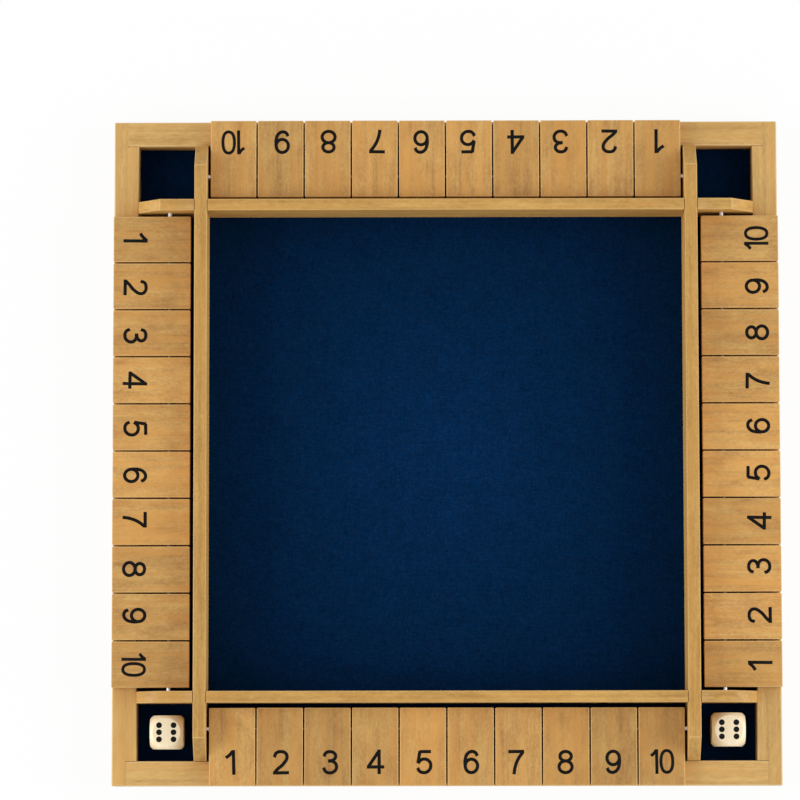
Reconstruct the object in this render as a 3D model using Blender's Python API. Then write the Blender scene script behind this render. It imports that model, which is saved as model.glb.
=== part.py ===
"""A four-player shut the box board.

A square pine frame holds a plywood base and one sheet of felt. Four dividers, halved into each other
where they cross, part the board into a rolling tray, four lanes and four corner trays. A steel rod runs
along each lane through the divider ends, and ten numbered tiles hinge on it. Two dice lie in two of the
corner trays. Metres, +Z up, the origin on the table under the middle of the board.
"""

import math

import bmesh
import bpy
from mathutils import Matrix, Vector

# The frame and its base
BOARD_SIDE = 0.310
RAIL_WIDTH = 0.0114
RAIL_ABOVE_FELT = 0.0106
RAIL_EASE = 0.0006
FRAME_CORNER_RADIUS = 0.0006
CORNER_TONGUE = 0.0064
BASE_THICKNESS = 0.0030
BASE_LIP = 0.0054
FELT_THICKNESS = 0.0010

# The dividers, set in from the rails by the width of a corner tray
CORNER_TRAY_WIDTH = 0.0268
DIVIDER_ABOVE_FELT = 0.0250
SIDE_DIVIDER_THICKNESS = 0.0059
CROSS_DIVIDER_THICKNESS = 0.0054
DIVIDER_END_CHAMFER = 0.0105
DIVIDER_EASE = 0.0004
HALVING_SHARE = 0.5

# The tiles and the rods that they turn on
TILES_PER_LANE = 10
TILE_THICKNESS = 0.0054
TILE_GAP = 0.00045
LANE_END_GAP = 0.0016
TILE_TO_DIVIDER = 0.00195
ROD_FROM_TILE_END = 0.00985
TILE_CORNER_RADIUS = 0.0008
TILE_EASE = 0.0004
ROD_DIAMETER = 0.0021
ROD_END_INSET = 0.0003

# The dice
DIE_SIZE = 0.0160
DIE_ROUNDING_DIAMETER = 0.0207
PIP_DIAMETER = 0.0025
PIP_DEPTH = 0.0004
PIP_COLUMN_PITCH = 0.0034
PIP_ROW_PITCH = 0.0033
WEST_DIE_SHIFT = (0.0008, 0.0)
EAST_DIE_SHIFT = (-0.0001, 0.0010)

# Clearances
GLUE_GAP = 0.0002
REST_GAP = 0.0003
BORE_CLEARANCE = 0.00035
CUT_OVERRUN = 0.0020

# Facets, and the roundness of an eased edge
ROUND_PROFILE_SHARE = 0.5
CORNER_SEGMENTS = 3
EASE_SEGMENTS = 1
RAIL_EASE_SEGMENTS = 2
ROD_SIDES = 16
BORE_SIDES = 12
BALL_SEGMENTS = 32
BALL_RINGS = 16
PIP_SEGMENTS = 10
PIP_RINGS = 4

# Heights, from the table up
FELT_BOTTOM = BASE_THICKNESS + REST_GAP
FELT_TOP = FELT_BOTTOM + FELT_THICKNESS
RAIL_TOP = FELT_TOP + RAIL_ABOVE_FELT
DIVIDER_BOTTOM = FELT_TOP + REST_GAP
DIVIDER_TOP = FELT_TOP + DIVIDER_ABOVE_FELT
DIVIDER_HEIGHT = DIVIDER_TOP - DIVIDER_BOTTOM
ROD_HEIGHT = RAIL_TOP + REST_GAP + TILE_THICKNESS / 2

# Places across the board, from its middle out
DIVIDER_INSET = RAIL_WIDTH + CORNER_TRAY_WIDTH
HALF_BOARD = BOARD_SIDE / 2
RAIL_INNER = HALF_BOARD - RAIL_WIDTH
DIVIDER_OUTER = HALF_BOARD - DIVIDER_INSET
SIDE_DIVIDER_MIDDLE = DIVIDER_OUTER - SIDE_DIVIDER_THICKNESS / 2
CROSS_DIVIDER_MIDDLE = DIVIDER_OUTER - CROSS_DIVIDER_THICKNESS / 2
TRAY_MIDDLE = (DIVIDER_OUTER + RAIL_INNER) / 2
BASE_SEAT = RAIL_WIDTH - BASE_LIP
BASE_SIDE = 2 * (HALF_BOARD - BASE_LIP - REST_GAP)
FELT_SIDE = 2 * (RAIL_INNER - REST_GAP)
DIVIDER_LENGTH = 2 * (RAIL_INNER - GLUE_GAP)

# The lanes
LANE_LENGTH = 2 * (DIVIDER_OUTER - max(SIDE_DIVIDER_THICKNESS, CROSS_DIVIDER_THICKNESS))
TILE_PITCH = (LANE_LENGTH - 2 * LANE_END_GAP + TILE_GAP) / TILES_PER_LANE
TILE_WIDTH = TILE_PITCH - TILE_GAP
TILE_LENGTH = DIVIDER_INSET - TILE_TO_DIVIDER
ROD_FROM_MIDDLE = HALF_BOARD - TILE_LENGTH + ROD_FROM_TILE_END
ROD_LENGTH = 2 * (DIVIDER_OUTER - ROD_END_INSET)
ROD_RADIUS = ROD_DIAMETER / 2

# The four sides, a quarter turn apart. Each player reads the lane's tiles from left to right
LANES = ("south", "east", "north", "west")


def clear_scene():
    """Takes every object out of the scene."""
    for old in list(bpy.data.objects):
        bpy.data.objects.remove(old, do_unlink=True)


def new_collection(name):
    collection = bpy.data.collections.new(name)
    bpy.context.scene.collection.children.link(collection)
    return collection


def new_material(name, colour, roughness, metallic=0.0):
    material = bpy.data.materials.new(name)
    material.use_nodes = True
    shader = material.node_tree.nodes["Principled BSDF"]
    shader.inputs["Base Color"].default_value = (*colour, 1.0)
    shader.inputs["Roughness"].default_value = roughness
    shader.inputs["Metallic"].default_value = metallic
    return material


def box_bmesh(size, centre=(0.0, 0.0, 0.0)):
    """A box of that size, with its middle at centre."""
    shape = bmesh.new()
    bmesh.ops.create_cube(shape, size=1.0)
    bmesh.ops.scale(shape, vec=Vector(size), verts=shape.verts)
    bmesh.ops.translate(shape, vec=Vector(centre), verts=shape.verts)
    return shape


def ease(shape, edges, width, segments):
    """Rounds those edges, or chamfers them where segments is 1."""
    bmesh.ops.bevel(shape, geom=edges, offset=width, offset_type="OFFSET", segments=segments,
                    profile=ROUND_PROFILE_SHARE, affect="EDGES")


def edges_along(shape, axis):
    """The edges that run along an axis: 0 for X, 1 for Y, 2 for Z."""
    return [edge for edge in shape.edges
            if abs((edge.verts[1].co - edge.verts[0].co).normalized()[axis]) > 0.999]


def to_mesh(name, shape):
    mesh = bpy.data.meshes.new(name)
    shape.to_mesh(mesh)
    shape.free()
    return mesh


def place(name, mesh, collection, material=None, location=(0.0, 0.0, 0.0), turn=0.0):
    """An object of that mesh, turned about Z and put at its place."""
    item = bpy.data.objects.new(name, mesh)
    collection.objects.link(item)
    item.location = location
    item.rotation_euler = (0.0, 0.0, turn)
    if material and not mesh.materials:
        mesh.materials.append(material)
    return item


def place_cutter(name, shape, cutters):
    """A cutter: it isn't rendered and shows as wires."""
    cutter = place(name, to_mesh(name, shape), cutters)
    cutter.hide_render = True
    cutter.display_type = "WIRE"
    return cutter


def combined(name, shape, tools, cutters, operation="DIFFERENCE"):
    """The mesh that is left when the tools are cut from a shape, or when it is cut to them."""
    item = place(name + "_blank", to_mesh(name + "_blank", shape), cutters)
    for tool in tools:
        boolean = item.modifiers.new(tool.name, "BOOLEAN")
        boolean.operation = operation
        boolean.solver = "EXACT"
        boolean.object = tool
    bpy.context.view_layer.update()
    evaluated = item.evaluated_get(bpy.context.evaluated_depsgraph_get())
    mesh = bpy.data.meshes.new_from_object(evaluated)
    mesh.name = name
    bpy.data.objects.remove(item, do_unlink=True)
    return mesh


def rod_bmesh(radius, length, sides):
    """A round bar along X, with its middle at the origin."""
    shape = bmesh.new()
    bmesh.ops.create_cone(shape, cap_ends=True, segments=sides, radius1=radius, radius2=radius,
                          depth=length)
    bmesh.ops.rotate(shape, verts=shape.verts, matrix=Matrix.Rotation(math.pi / 2, 3, "Y"))
    return shape


def turned(point, quarter_turns):
    """A point carried round the board's middle by that many quarter turns."""
    return Matrix.Rotation(quarter_turns * math.pi / 2, 3, "Z") @ Vector(point)


def end_rail_blank():
    """An end rail along X with its outer face to -Y and its two top edges rounded."""
    shape = box_bmesh((BOARD_SIDE - 2 * (CORNER_TONGUE + GLUE_GAP), RAIL_WIDTH, RAIL_TOP))
    top_edges = [edge for edge in edges_along(shape, 0) if edge.verts[0].co.z > 0]
    ease(shape, top_edges, RAIL_EASE, RAIL_EASE_SEGMENTS)
    return shape


def side_rail_blank():
    """A side rail, whose ends make the board's corners: these are rounded, and so is its whole top rim."""
    shape = box_bmesh((BOARD_SIDE, RAIL_WIDTH, RAIL_TOP))
    corners = [edge for edge in edges_along(shape, 2) if edge.verts[0].co.y < 0]
    ease(shape, corners, FRAME_CORNER_RADIUS, CORNER_SEGMENTS)
    rim = [edge for edge in shape.edges if min(vert.co.z for vert in edge.verts) > 0]
    ease(shape, rim, RAIL_EASE, RAIL_EASE_SEGMENTS)
    return shape


def base_seat_cutter(cutters):
    """The rebate under a rail's inner edge, which the base is let into."""
    depth = BASE_SEAT + CUT_OVERRUN
    height = FELT_BOTTOM + CUT_OVERRUN
    centre = (0.0, RAIL_WIDTH / 2 - BASE_SEAT + depth / 2, FELT_BOTTOM - height / 2 - RAIL_TOP / 2)
    return place_cutter("base_seat", box_bmesh((BASE_SIDE + 2 * REST_GAP, depth, height), centre), cutters)


def corner_rebate_cutter(side, cutters):
    """The step in a side rail's end, which the end rail's end is let into."""
    length = RAIL_WIDTH + GLUE_GAP + CUT_OVERRUN
    depth = RAIL_WIDTH - CORNER_TONGUE + CUT_OVERRUN
    centre = (side * (HALF_BOARD + CUT_OVERRUN - length / 2), CORNER_TONGUE - RAIL_WIDTH / 2 + depth / 2, 0.0)
    name = "corner_rebate_left" if side < 0 else "corner_rebate_right"
    return place_cutter(name, box_bmesh((length, depth, RAIL_TOP + 2 * CUT_OVERRUN), centre), cutters)


def make_rails(parts, cutters, wood):
    """Two full-length side rails, and two end rails let into their ends."""
    seat = base_seat_cutter(cutters)
    rebates = [corner_rebate_cutter(side, cutters) for side in (-1, 1)]
    end_rail = combined("end_rail", end_rail_blank(), [seat], cutters)
    side_rail = combined("side_rail", side_rail_blank(), [seat, *rebates], cutters)
    for quarter_turns, lane in enumerate(LANES):
        mesh = end_rail if quarter_turns % 2 == 0 else side_rail
        middle = turned((0.0, RAIL_WIDTH / 2 - HALF_BOARD, RAIL_TOP / 2), quarter_turns)
        place("rail_" + lane, mesh, parts, wood, middle, quarter_turns * math.pi / 2)


def make_base(parts, plywood, cloth):
    """The plywood base, let in flush under the rails, and the felt laid on it."""
    base = to_mesh("base_panel", box_bmesh((BASE_SIDE, BASE_SIDE, BASE_THICKNESS)))
    place("base_panel", base, parts, plywood, (0.0, 0.0, BASE_THICKNESS / 2))
    felt = to_mesh("felt_lining", box_bmesh((FELT_SIDE, FELT_SIDE, FELT_THICKNESS)))
    place("felt_lining", felt, parts, cloth, (0.0, 0.0, FELT_BOTTOM + FELT_THICKNESS / 2))


def divider_blank(thickness):
    """A board on edge along X, sloped down at both ends, with its upper edges eased."""
    shape = box_bmesh((DIVIDER_LENGTH, thickness, DIVIDER_HEIGHT))
    end_edges = [edge for edge in edges_along(shape, 1) if edge.verts[0].co.z > 0]
    ease(shape, end_edges, DIVIDER_END_CHAMFER, 1)
    slope_foot = DIVIDER_HEIGHT / 2 - DIVIDER_END_CHAMFER
    along = [edge for edge in shape.edges
             if abs(edge.verts[1].co.y - edge.verts[0].co.y) < thickness / 2
             and min(vert.co.z for vert in edge.verts) > slope_foot - DIVIDER_EASE]
    ease(shape, along, DIVIDER_EASE, EASE_SEGMENTS)
    return shape


def divider_mesh(name, thickness, crossing, crossing_thickness, notch_up, cutters):
    """A divider with a halving notch at each crossing and a hole for a rod near each end."""
    halving = (HALVING_SHARE - 0.5) * DIVIDER_HEIGHT
    tools = []
    for side in (-1, 1):
        low = halving - REST_GAP / 2 if notch_up else -DIVIDER_HEIGHT / 2 - CUT_OVERRUN
        high = DIVIDER_HEIGHT / 2 + CUT_OVERRUN if notch_up else halving + REST_GAP / 2
        notch_size = (crossing_thickness + 2 * GLUE_GAP, thickness + 2 * CUT_OVERRUN, high - low)
        notch = box_bmesh(notch_size, (side * crossing, 0.0, (low + high) / 2))
        hole = rod_bmesh(ROD_RADIUS + GLUE_GAP, thickness + 2 * CUT_OVERRUN, ROD_SIDES)
        bmesh.ops.rotate(hole, verts=hole.verts, matrix=Matrix.Rotation(math.pi / 2, 3, "Z"))
        hole_height = ROD_HEIGHT - (DIVIDER_BOTTOM + DIVIDER_TOP) / 2
        bmesh.ops.translate(hole, vec=(side * ROD_FROM_MIDDLE, 0.0, hole_height), verts=hole.verts)
        end = "left" if side < 0 else "right"
        tools.append(place_cutter(name + "_notch_" + end, notch, cutters))
        tools.append(place_cutter(name + "_hole_" + end, hole, cutters))
    return combined(name, divider_blank(thickness), tools, cutters)


def make_dividers(parts, cutters, wood):
    """The side dividers are notched from below, and the cross dividers from above."""
    side = divider_mesh("side_divider", SIDE_DIVIDER_THICKNESS, CROSS_DIVIDER_MIDDLE,
                        CROSS_DIVIDER_THICKNESS, False, cutters)
    cross = divider_mesh("cross_divider", CROSS_DIVIDER_THICKNESS, SIDE_DIVIDER_MIDDLE,
                         SIDE_DIVIDER_THICKNESS, True, cutters)
    height = (DIVIDER_BOTTOM + DIVIDER_TOP) / 2
    kinds = [(cross, CROSS_DIVIDER_MIDDLE), (side, SIDE_DIVIDER_MIDDLE)]
    for quarter_turns, lane in enumerate(LANES):
        mesh, middle = kinds[quarter_turns % 2]
        where = turned((0.0, -middle, height), quarter_turns)
        place("divider_" + lane, mesh, parts, wood, where, quarter_turns * math.pi / 2)


def make_rods(parts, steel):
    """One rod along each lane, held in the ends of the two dividers that it passes through."""
    mesh = to_mesh("rod", rod_bmesh(ROD_RADIUS, ROD_LENGTH, ROD_SIDES))
    mesh.shade_smooth()
    mesh.set_sharp_from_angle(angle=math.radians(40))
    for quarter_turns, lane in enumerate(LANES):
        where = turned((0.0, -ROD_FROM_MIDDLE, ROD_HEIGHT), quarter_turns)
        place("rod_" + lane, mesh, parts, steel, where, quarter_turns * math.pi / 2)


def tile_mesh(cutters):
    """A tile whose origin is on its rod, with its long end to -Y."""
    middle = ROD_FROM_TILE_END - TILE_LENGTH / 2
    shape = box_bmesh((TILE_WIDTH, TILE_LENGTH, TILE_THICKNESS), (0.0, middle, 0.0))
    ease(shape, edges_along(shape, 2), TILE_CORNER_RADIUS, CORNER_SEGMENTS)
    rims = [edge for edge in shape.edges if abs(edge.verts[1].co.z - edge.verts[0].co.z) < TILE_EASE]
    ease(shape, rims, TILE_EASE, EASE_SEGMENTS)
    bore = place_cutter("tile_bore", rod_bmesh(ROD_RADIUS + BORE_CLEARANCE, TILE_WIDTH + 2 * CUT_OVERRUN,
                                               BORE_SIDES), cutters)
    return combined("tile", shape, [bore], cutters)


def make_tiles(parts, cutters, wood):
    """Ten tiles in each lane, numbered from its player's left."""
    mesh = tile_mesh(cutters)
    for quarter_turns, lane in enumerate(LANES):
        for number in range(1, TILES_PER_LANE + 1):
            along = (number - (TILES_PER_LANE + 1) / 2) * TILE_PITCH
            where = turned((along, -ROD_FROM_MIDDLE, ROD_HEIGHT), quarter_turns)
            place(f"tile_{lane}_{number:02d}", mesh, parts, wood, where, quarter_turns * math.pi / 2)


def pip_spots(count):
    """The places of a face's pips, in columns and rows from its middle."""
    corners = [(-1, -1), (1, 1)]
    if count >= 4:
        corners += [(-1, 1), (1, -1)]
    if count == 6:
        corners += [(-1, 0), (1, 0)]
    middle = [(0, 0)] if count % 2 else []
    return middle + (corners if count > 1 else [])


def pip_cutter(cutters):
    """All 21 pips as one cutter. Opposite faces add up to seven, with six on top."""
    faces = {6: Matrix.Identity(3), 1: Matrix.Rotation(math.pi, 3, "X"),
             5: Matrix.Rotation(math.pi / 2, 3, "X"), 2: Matrix.Rotation(-math.pi / 2, 3, "X"),
             4: Matrix.Rotation(math.pi / 2, 3, "Y"), 3: Matrix.Rotation(-math.pi / 2, 3, "Y")}
    shape = bmesh.new()
    for count, facing in faces.items():
        for column, row in pip_spots(count):
            spot = Vector((column * PIP_COLUMN_PITCH, row * PIP_ROW_PITCH, DIE_SIZE / 2))
            bowl = bmesh.ops.create_uvsphere(shape, u_segments=PIP_SEGMENTS, v_segments=PIP_RINGS,
                                             radius=PIP_DIAMETER / 2)["verts"]
            bmesh.ops.scale(shape, vec=(1.0, 1.0, PIP_DEPTH / (PIP_DIAMETER / 2)), verts=bowl)
            bmesh.ops.translate(shape, vec=spot, verts=bowl)
            bmesh.ops.rotate(shape, verts=bowl, matrix=facing)
    return place_cutter("pips", shape, cutters)


def make_dice(parts, cutters, beech):
    """Two cubes with their corners rounded to a ball, in the two trays on the south side."""
    ball = bmesh.new()
    bmesh.ops.create_uvsphere(ball, u_segments=BALL_SEGMENTS, v_segments=BALL_RINGS,
                              radius=DIE_ROUNDING_DIAMETER / 2)
    rounding = place_cutter("die_rounding", ball, cutters)
    cube = box_bmesh((DIE_SIZE, DIE_SIZE, DIE_SIZE))
    rounded = combined("rounded_cube", cube, [rounding], cutters, "INTERSECT")
    shape = bmesh.new()
    shape.from_mesh(rounded)
    bpy.data.meshes.remove(rounded)
    mesh = combined("die", shape, [pip_cutter(cutters)], cutters)
    mesh.shade_smooth()
    mesh.set_sharp_from_angle(angle=math.radians(30))
    height = FELT_TOP + REST_GAP + DIE_SIZE / 2
    for name, side, shift in (("die_west", -1, WEST_DIE_SHIFT), ("die_east", 1, EAST_DIE_SHIFT)):
        where = (side * TRAY_MIDDLE + shift[0], -TRAY_MIDDLE + shift[1], height)
        place(name, mesh, parts, beech, where)


def build():
    clear_scene()
    parts = new_collection("shut_the_box")
    cutters = new_collection("cutters")
    rail_pine = new_material("rail_pine", (0.60, 0.38, 0.14), 0.45)
    tile_pine = new_material("tile_pine", (0.53, 0.30, 0.10), 0.42)
    birch_plywood = new_material("birch_plywood", (0.66, 0.49, 0.29), 0.60)
    navy_felt = new_material("navy_felt", (0.004, 0.012, 0.035), 0.95)
    bright_steel = new_material("bright_steel", (0.80, 0.80, 0.82), 0.18, 1.0)
    pale_beech = new_material("pale_beech", (0.82, 0.62, 0.38), 0.40)
    make_base(parts, birch_plywood, navy_felt)
    make_rails(parts, cutters, rail_pine)
    make_dividers(parts, cutters, rail_pine)
    make_rods(parts, bright_steel)
    make_tiles(parts, cutters, tile_pine)
    make_dice(parts, cutters, pale_beech)


build()
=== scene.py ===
# %% [markdown]
# # A shut the box board for four players
#
# The board is a square pine frame with a felt tray in the middle. Along each side lie ten numbered
# tiles that hinge on a steel rod, and two wooden dice wait in the corner trays. The CAD model already
# holds the true shapes and the joints. This lesson gives every piece its finish: softer edges, grain,
# nap, ink and light. Lengths are in metres, as in the CAD model.

import math
import random

import bmesh
import bpy
from mathutils import Matrix, Vector


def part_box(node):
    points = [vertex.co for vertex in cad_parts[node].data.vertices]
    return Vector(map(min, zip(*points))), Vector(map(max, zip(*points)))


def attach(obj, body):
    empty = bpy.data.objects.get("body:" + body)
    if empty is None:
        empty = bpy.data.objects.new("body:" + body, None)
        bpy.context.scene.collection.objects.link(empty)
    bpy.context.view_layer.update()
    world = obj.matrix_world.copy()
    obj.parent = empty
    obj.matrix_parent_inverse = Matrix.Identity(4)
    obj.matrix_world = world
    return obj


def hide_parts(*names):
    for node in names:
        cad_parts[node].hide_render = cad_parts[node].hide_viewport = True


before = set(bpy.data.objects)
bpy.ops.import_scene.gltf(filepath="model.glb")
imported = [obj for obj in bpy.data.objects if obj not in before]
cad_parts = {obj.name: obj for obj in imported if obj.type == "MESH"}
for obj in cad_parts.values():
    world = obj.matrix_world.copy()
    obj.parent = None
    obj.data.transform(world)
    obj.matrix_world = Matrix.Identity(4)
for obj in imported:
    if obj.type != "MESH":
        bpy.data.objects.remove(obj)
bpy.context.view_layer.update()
MM = 0.001
TOUCH = MM / 100  # two places closer than this count as one
WELD = 0.000002   # points closer than this are merged
LANES = ("south", "east", "north", "west")
NUMBERS = range(1, 11)

# %% [markdown]
# ## The camera
#
# The picture looks almost straight down from about two metres, so all four lanes look alike and the inner
# faces of the dividers hardly show. A wide lens close by would splay the dividers. A long lens from far away
# keeps the board square. The camera stands a little south of the board and leans a few degrees north, which
# uncovers the inner face of the north divider. The board sits low in the frame, as it does in the picture.

# %% Camera
LENS_MM = 188.98
SENSOR_MM = 36.0
CAMERA_PLACE = (-0.01048, -0.16306, 1.96219)
CAMERA_TURNS = ((0.0958, "X"), (0.0056, "Y"), (-0.0018, "Z"))  # from looking straight down, in radians

lens = bpy.data.cameras.new("long_lens")
lens.lens = LENS_MM
lens.sensor_width = SENSOR_MM
camera = bpy.data.objects.new("camera", lens)
bpy.context.scene.collection.objects.link(camera)
turn = Matrix.Identity(4)
for angle, axis in CAMERA_TURNS:
    turn = turn @ Matrix.Rotation(angle, 4, axis)
camera.matrix_world = Matrix.Translation(CAMERA_PLACE) @ turn
bpy.context.scene.camera = camera
bpy.context.scene.view_settings.view_transform = "Standard"
print("camera looks along", [round(v, 3) for v in turn.to_3x3() @ Vector((0, 0, -1))])

# %% [markdown]
# ## Small tools for the bench
#
# Most of the modelling is done by hand with operators, as in the 3D view. An operator works on whatever is
# selected, so each step first selects exactly the edges or faces that it needs. These helpers do the
# selecting, and one more adds a shader node together with its settings and links.

# %% Helpers for modelling
def only(item):
    """Makes one object the only one selected, in object mode."""
    if bpy.context.object and bpy.context.object.mode != "OBJECT":
        bpy.ops.object.mode_set(mode="OBJECT")
    bpy.ops.object.select_all(action="DESELECT")
    item.select_set(True)
    bpy.context.view_layer.objects.active = item


def started(name):
    """The primitive that was just added, named, with its size and place in its mesh."""
    item = bpy.context.object
    item.name = item.data.name = name
    only(item)
    bpy.ops.object.transform_apply(location=True, rotation=True, scale=True)
    return item


def block(name, low, high):
    """A cube primitive stretched between two corners."""
    low, high = Vector(low), Vector(high)
    bpy.ops.mesh.primitive_cube_add(size=1, location=(low + high) / 2, scale=high - low)
    return started(name)


def open_edges(item, wanted):
    """Opens a piece in edit mode with only the edges selected whose two ends pass the test."""
    only(item)
    bpy.ops.object.mode_set(mode="EDIT")
    bpy.ops.mesh.select_mode(type="EDGE")
    bpy.ops.mesh.select_all(action="DESELECT")
    shape = bmesh.from_edit_mesh(item.data)
    for edge in shape.edges:
        edge.select_set(bool(wanted(edge.verts[0].co, edge.verts[1].co)))
    bmesh.update_edit_mesh(item.data)


def finish_with(item, kind, **settings):
    """Adds a modifier to a piece and applies it."""
    modifier = item.modifiers.new(kind.lower(), kind)
    for name, value in settings.items():
        setattr(modifier, name, value)
    only(item)
    bpy.ops.object.modifier_apply(modifier=modifier.name)


def cut(item, tool, operation="DIFFERENCE"):
    """Cuts a piece with a tool, or joins or trims it to the tool, and throws the tool away."""
    finish_with(item, "BOOLEAN", operation=operation, solver="EXACT", object=tool)
    bpy.data.objects.remove(tool)


def smooth(item, degrees):
    """Smooth shading up to that angle, with the flat faces kept flat."""
    only(item)
    bpy.ops.object.shade_smooth_by_angle(angle=math.radians(degrees))
    finish_with(item, "WEIGHTED_NORMAL", keep_sharp=True)


def put(item, place, name=None, keep=True):
    """A copy of a piece with its own mesh, moved to its place, or the piece itself."""
    if keep:
        item = item.copy()
        item.data = item.data.copy()
        bpy.context.scene.collection.objects.link(item)
    if name:
        item.name = item.data.name = name
    item.matrix_world = place
    only(item)
    bpy.ops.object.transform_apply(location=True, rotation=True, scale=True)
    return item


def middle_of(node):
    """The middle of a CAD node's box."""
    low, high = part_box(node)
    return (low + high) / 2


def lane_turn(lane):
    """The quarter turns that carry the south lane's pieces to a lane."""
    return Matrix.Rotation(LANES.index(lane) * math.pi / 2, 4, "Z")


print("modelling helpers ready")

# %% [markdown]
# A material is a shader with its fixed values set on its own sockets, and nodes where the surface varies.
# Every colour is written as sRGB hex and goes through one function. When a finished piece gets its
# material, it is also hung on the body it rides on, and the CAD nodes it stands for are hidden.


# %% Helpers for materials
def srgb(code):
    """A colour written as sRGB hex, as linear light."""
    parts = [int(code[i:i + 2], 16) / 255 for i in (1, 3, 5)]
    return [*(p / 12.92 if p <= 0.04045 else ((p + 0.055) / 1.055) ** 2.4 for p in parts), 1.0]


def new_finish(name, **sockets):
    """A material whose shader starts from those values."""
    material = bpy.data.materials.new(name)
    material.use_nodes = True
    shader = material.node_tree.nodes["Principled BSDF"]
    for socket, value in sockets.items():
        shader.inputs[socket.replace("_", " ")].default_value = value
    return material, shader


def add_node(material, kind, values=(), **properties):
    """Adds a node. Each value is a number, or another node's output that is linked to that socket."""
    node = material.node_tree.nodes.new("ShaderNode" + kind)
    for name, value in properties.items():
        setattr(node, name, value)
    for socket, value in dict(values).items():
        if isinstance(value, bpy.types.NodeSocket):
            material.node_tree.links.new(value, node.inputs[socket])
        else:
            node.inputs[socket].default_value = value
    return node


def dress(item, material, slot, body, *nodes):
    """Gives a finished piece its material and its body, and hides the nodes it stands for. The slot is not used."""
    item.data.materials.clear()
    item.data.materials.append(material)
    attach(item, body)
    if nodes:
        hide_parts(*nodes)


print("white is", srgb("#ffffff"))

# %% [markdown]
# ## Pine, cut and oiled
#
# Rails, dividers and tiles are pine with a warm oil stain. Pine has pale early wood and darker late wood in
# yearly rings. Sawn along the trunk, the rings show as long soft streaks, and on a sawn end as short arcs.
# Flat streaks painted on each face would not meet at the edges. A solid pattern gives faces and ends at
# once: rings around a far off axis, with noise drawn out along the grain for fibres and bands, and rounder
# noise for the patches where the stain sank in. All of it is read from the piece's own place in its plank.
#
# The same recipe makes three finishes. The rails have calm long grain, the dividers are narrow quarter
# sawn strips under varnish, and the tiles took the stain darkest. The colours are the pale wood, the dark
# wood, the amber of resin, and the lighter colour of eased edges, partly stain worn off and partly a painted
# highlight. The numbers are the roughness, the width of the soft bands in mm, and how much longer than a tile's the
# streaks run.

# %% Pine
RING_SPACING = 4.5          # mm, from one year's late wood to the next, as in fast grown pine
FIBRE_WIDTH = 0.95          # mm, the finest streaks, drawn coarser than real fibres (0.03 mm)
PORE_WIDTH = 0.9            # mm, short marks, drawn coarser than real pores (0.1 mm) so that they show
BLOTCH_SIZE = 8.0           # mm, patches where the stain sank in
WARM_WIDTH = 4.0            # mm, streaks where the resin turned the wood amber
BATCH_SIZE = 300.0          # mm, so that each board as a whole is a warmer or a cooler one
WAVE_PERIOD = math.pi / 10  # a wave texture's ring width at scale 1
RING_STRETCH = 0.03         # rings change this much slower along the trunk than across it
BLOTCH_SHARE = 0.68         # patches, against soft bands
PORE_SHARE = 0.6            # pores, against fibres
FINE_SHARE = 0.45           # those two, against the patches and bands
LATE_SHARE = 0.15           # rings of late wood, against all four
BATCH_SHARE = 0.3           # the board's own warmth, against its amber streaks
AMBER_MOST = 0.65           # how far the warmest wood turns amber
GRAIN_BUMP = 0.00003        # m, how far the grain stands up, on every wood here


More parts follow.
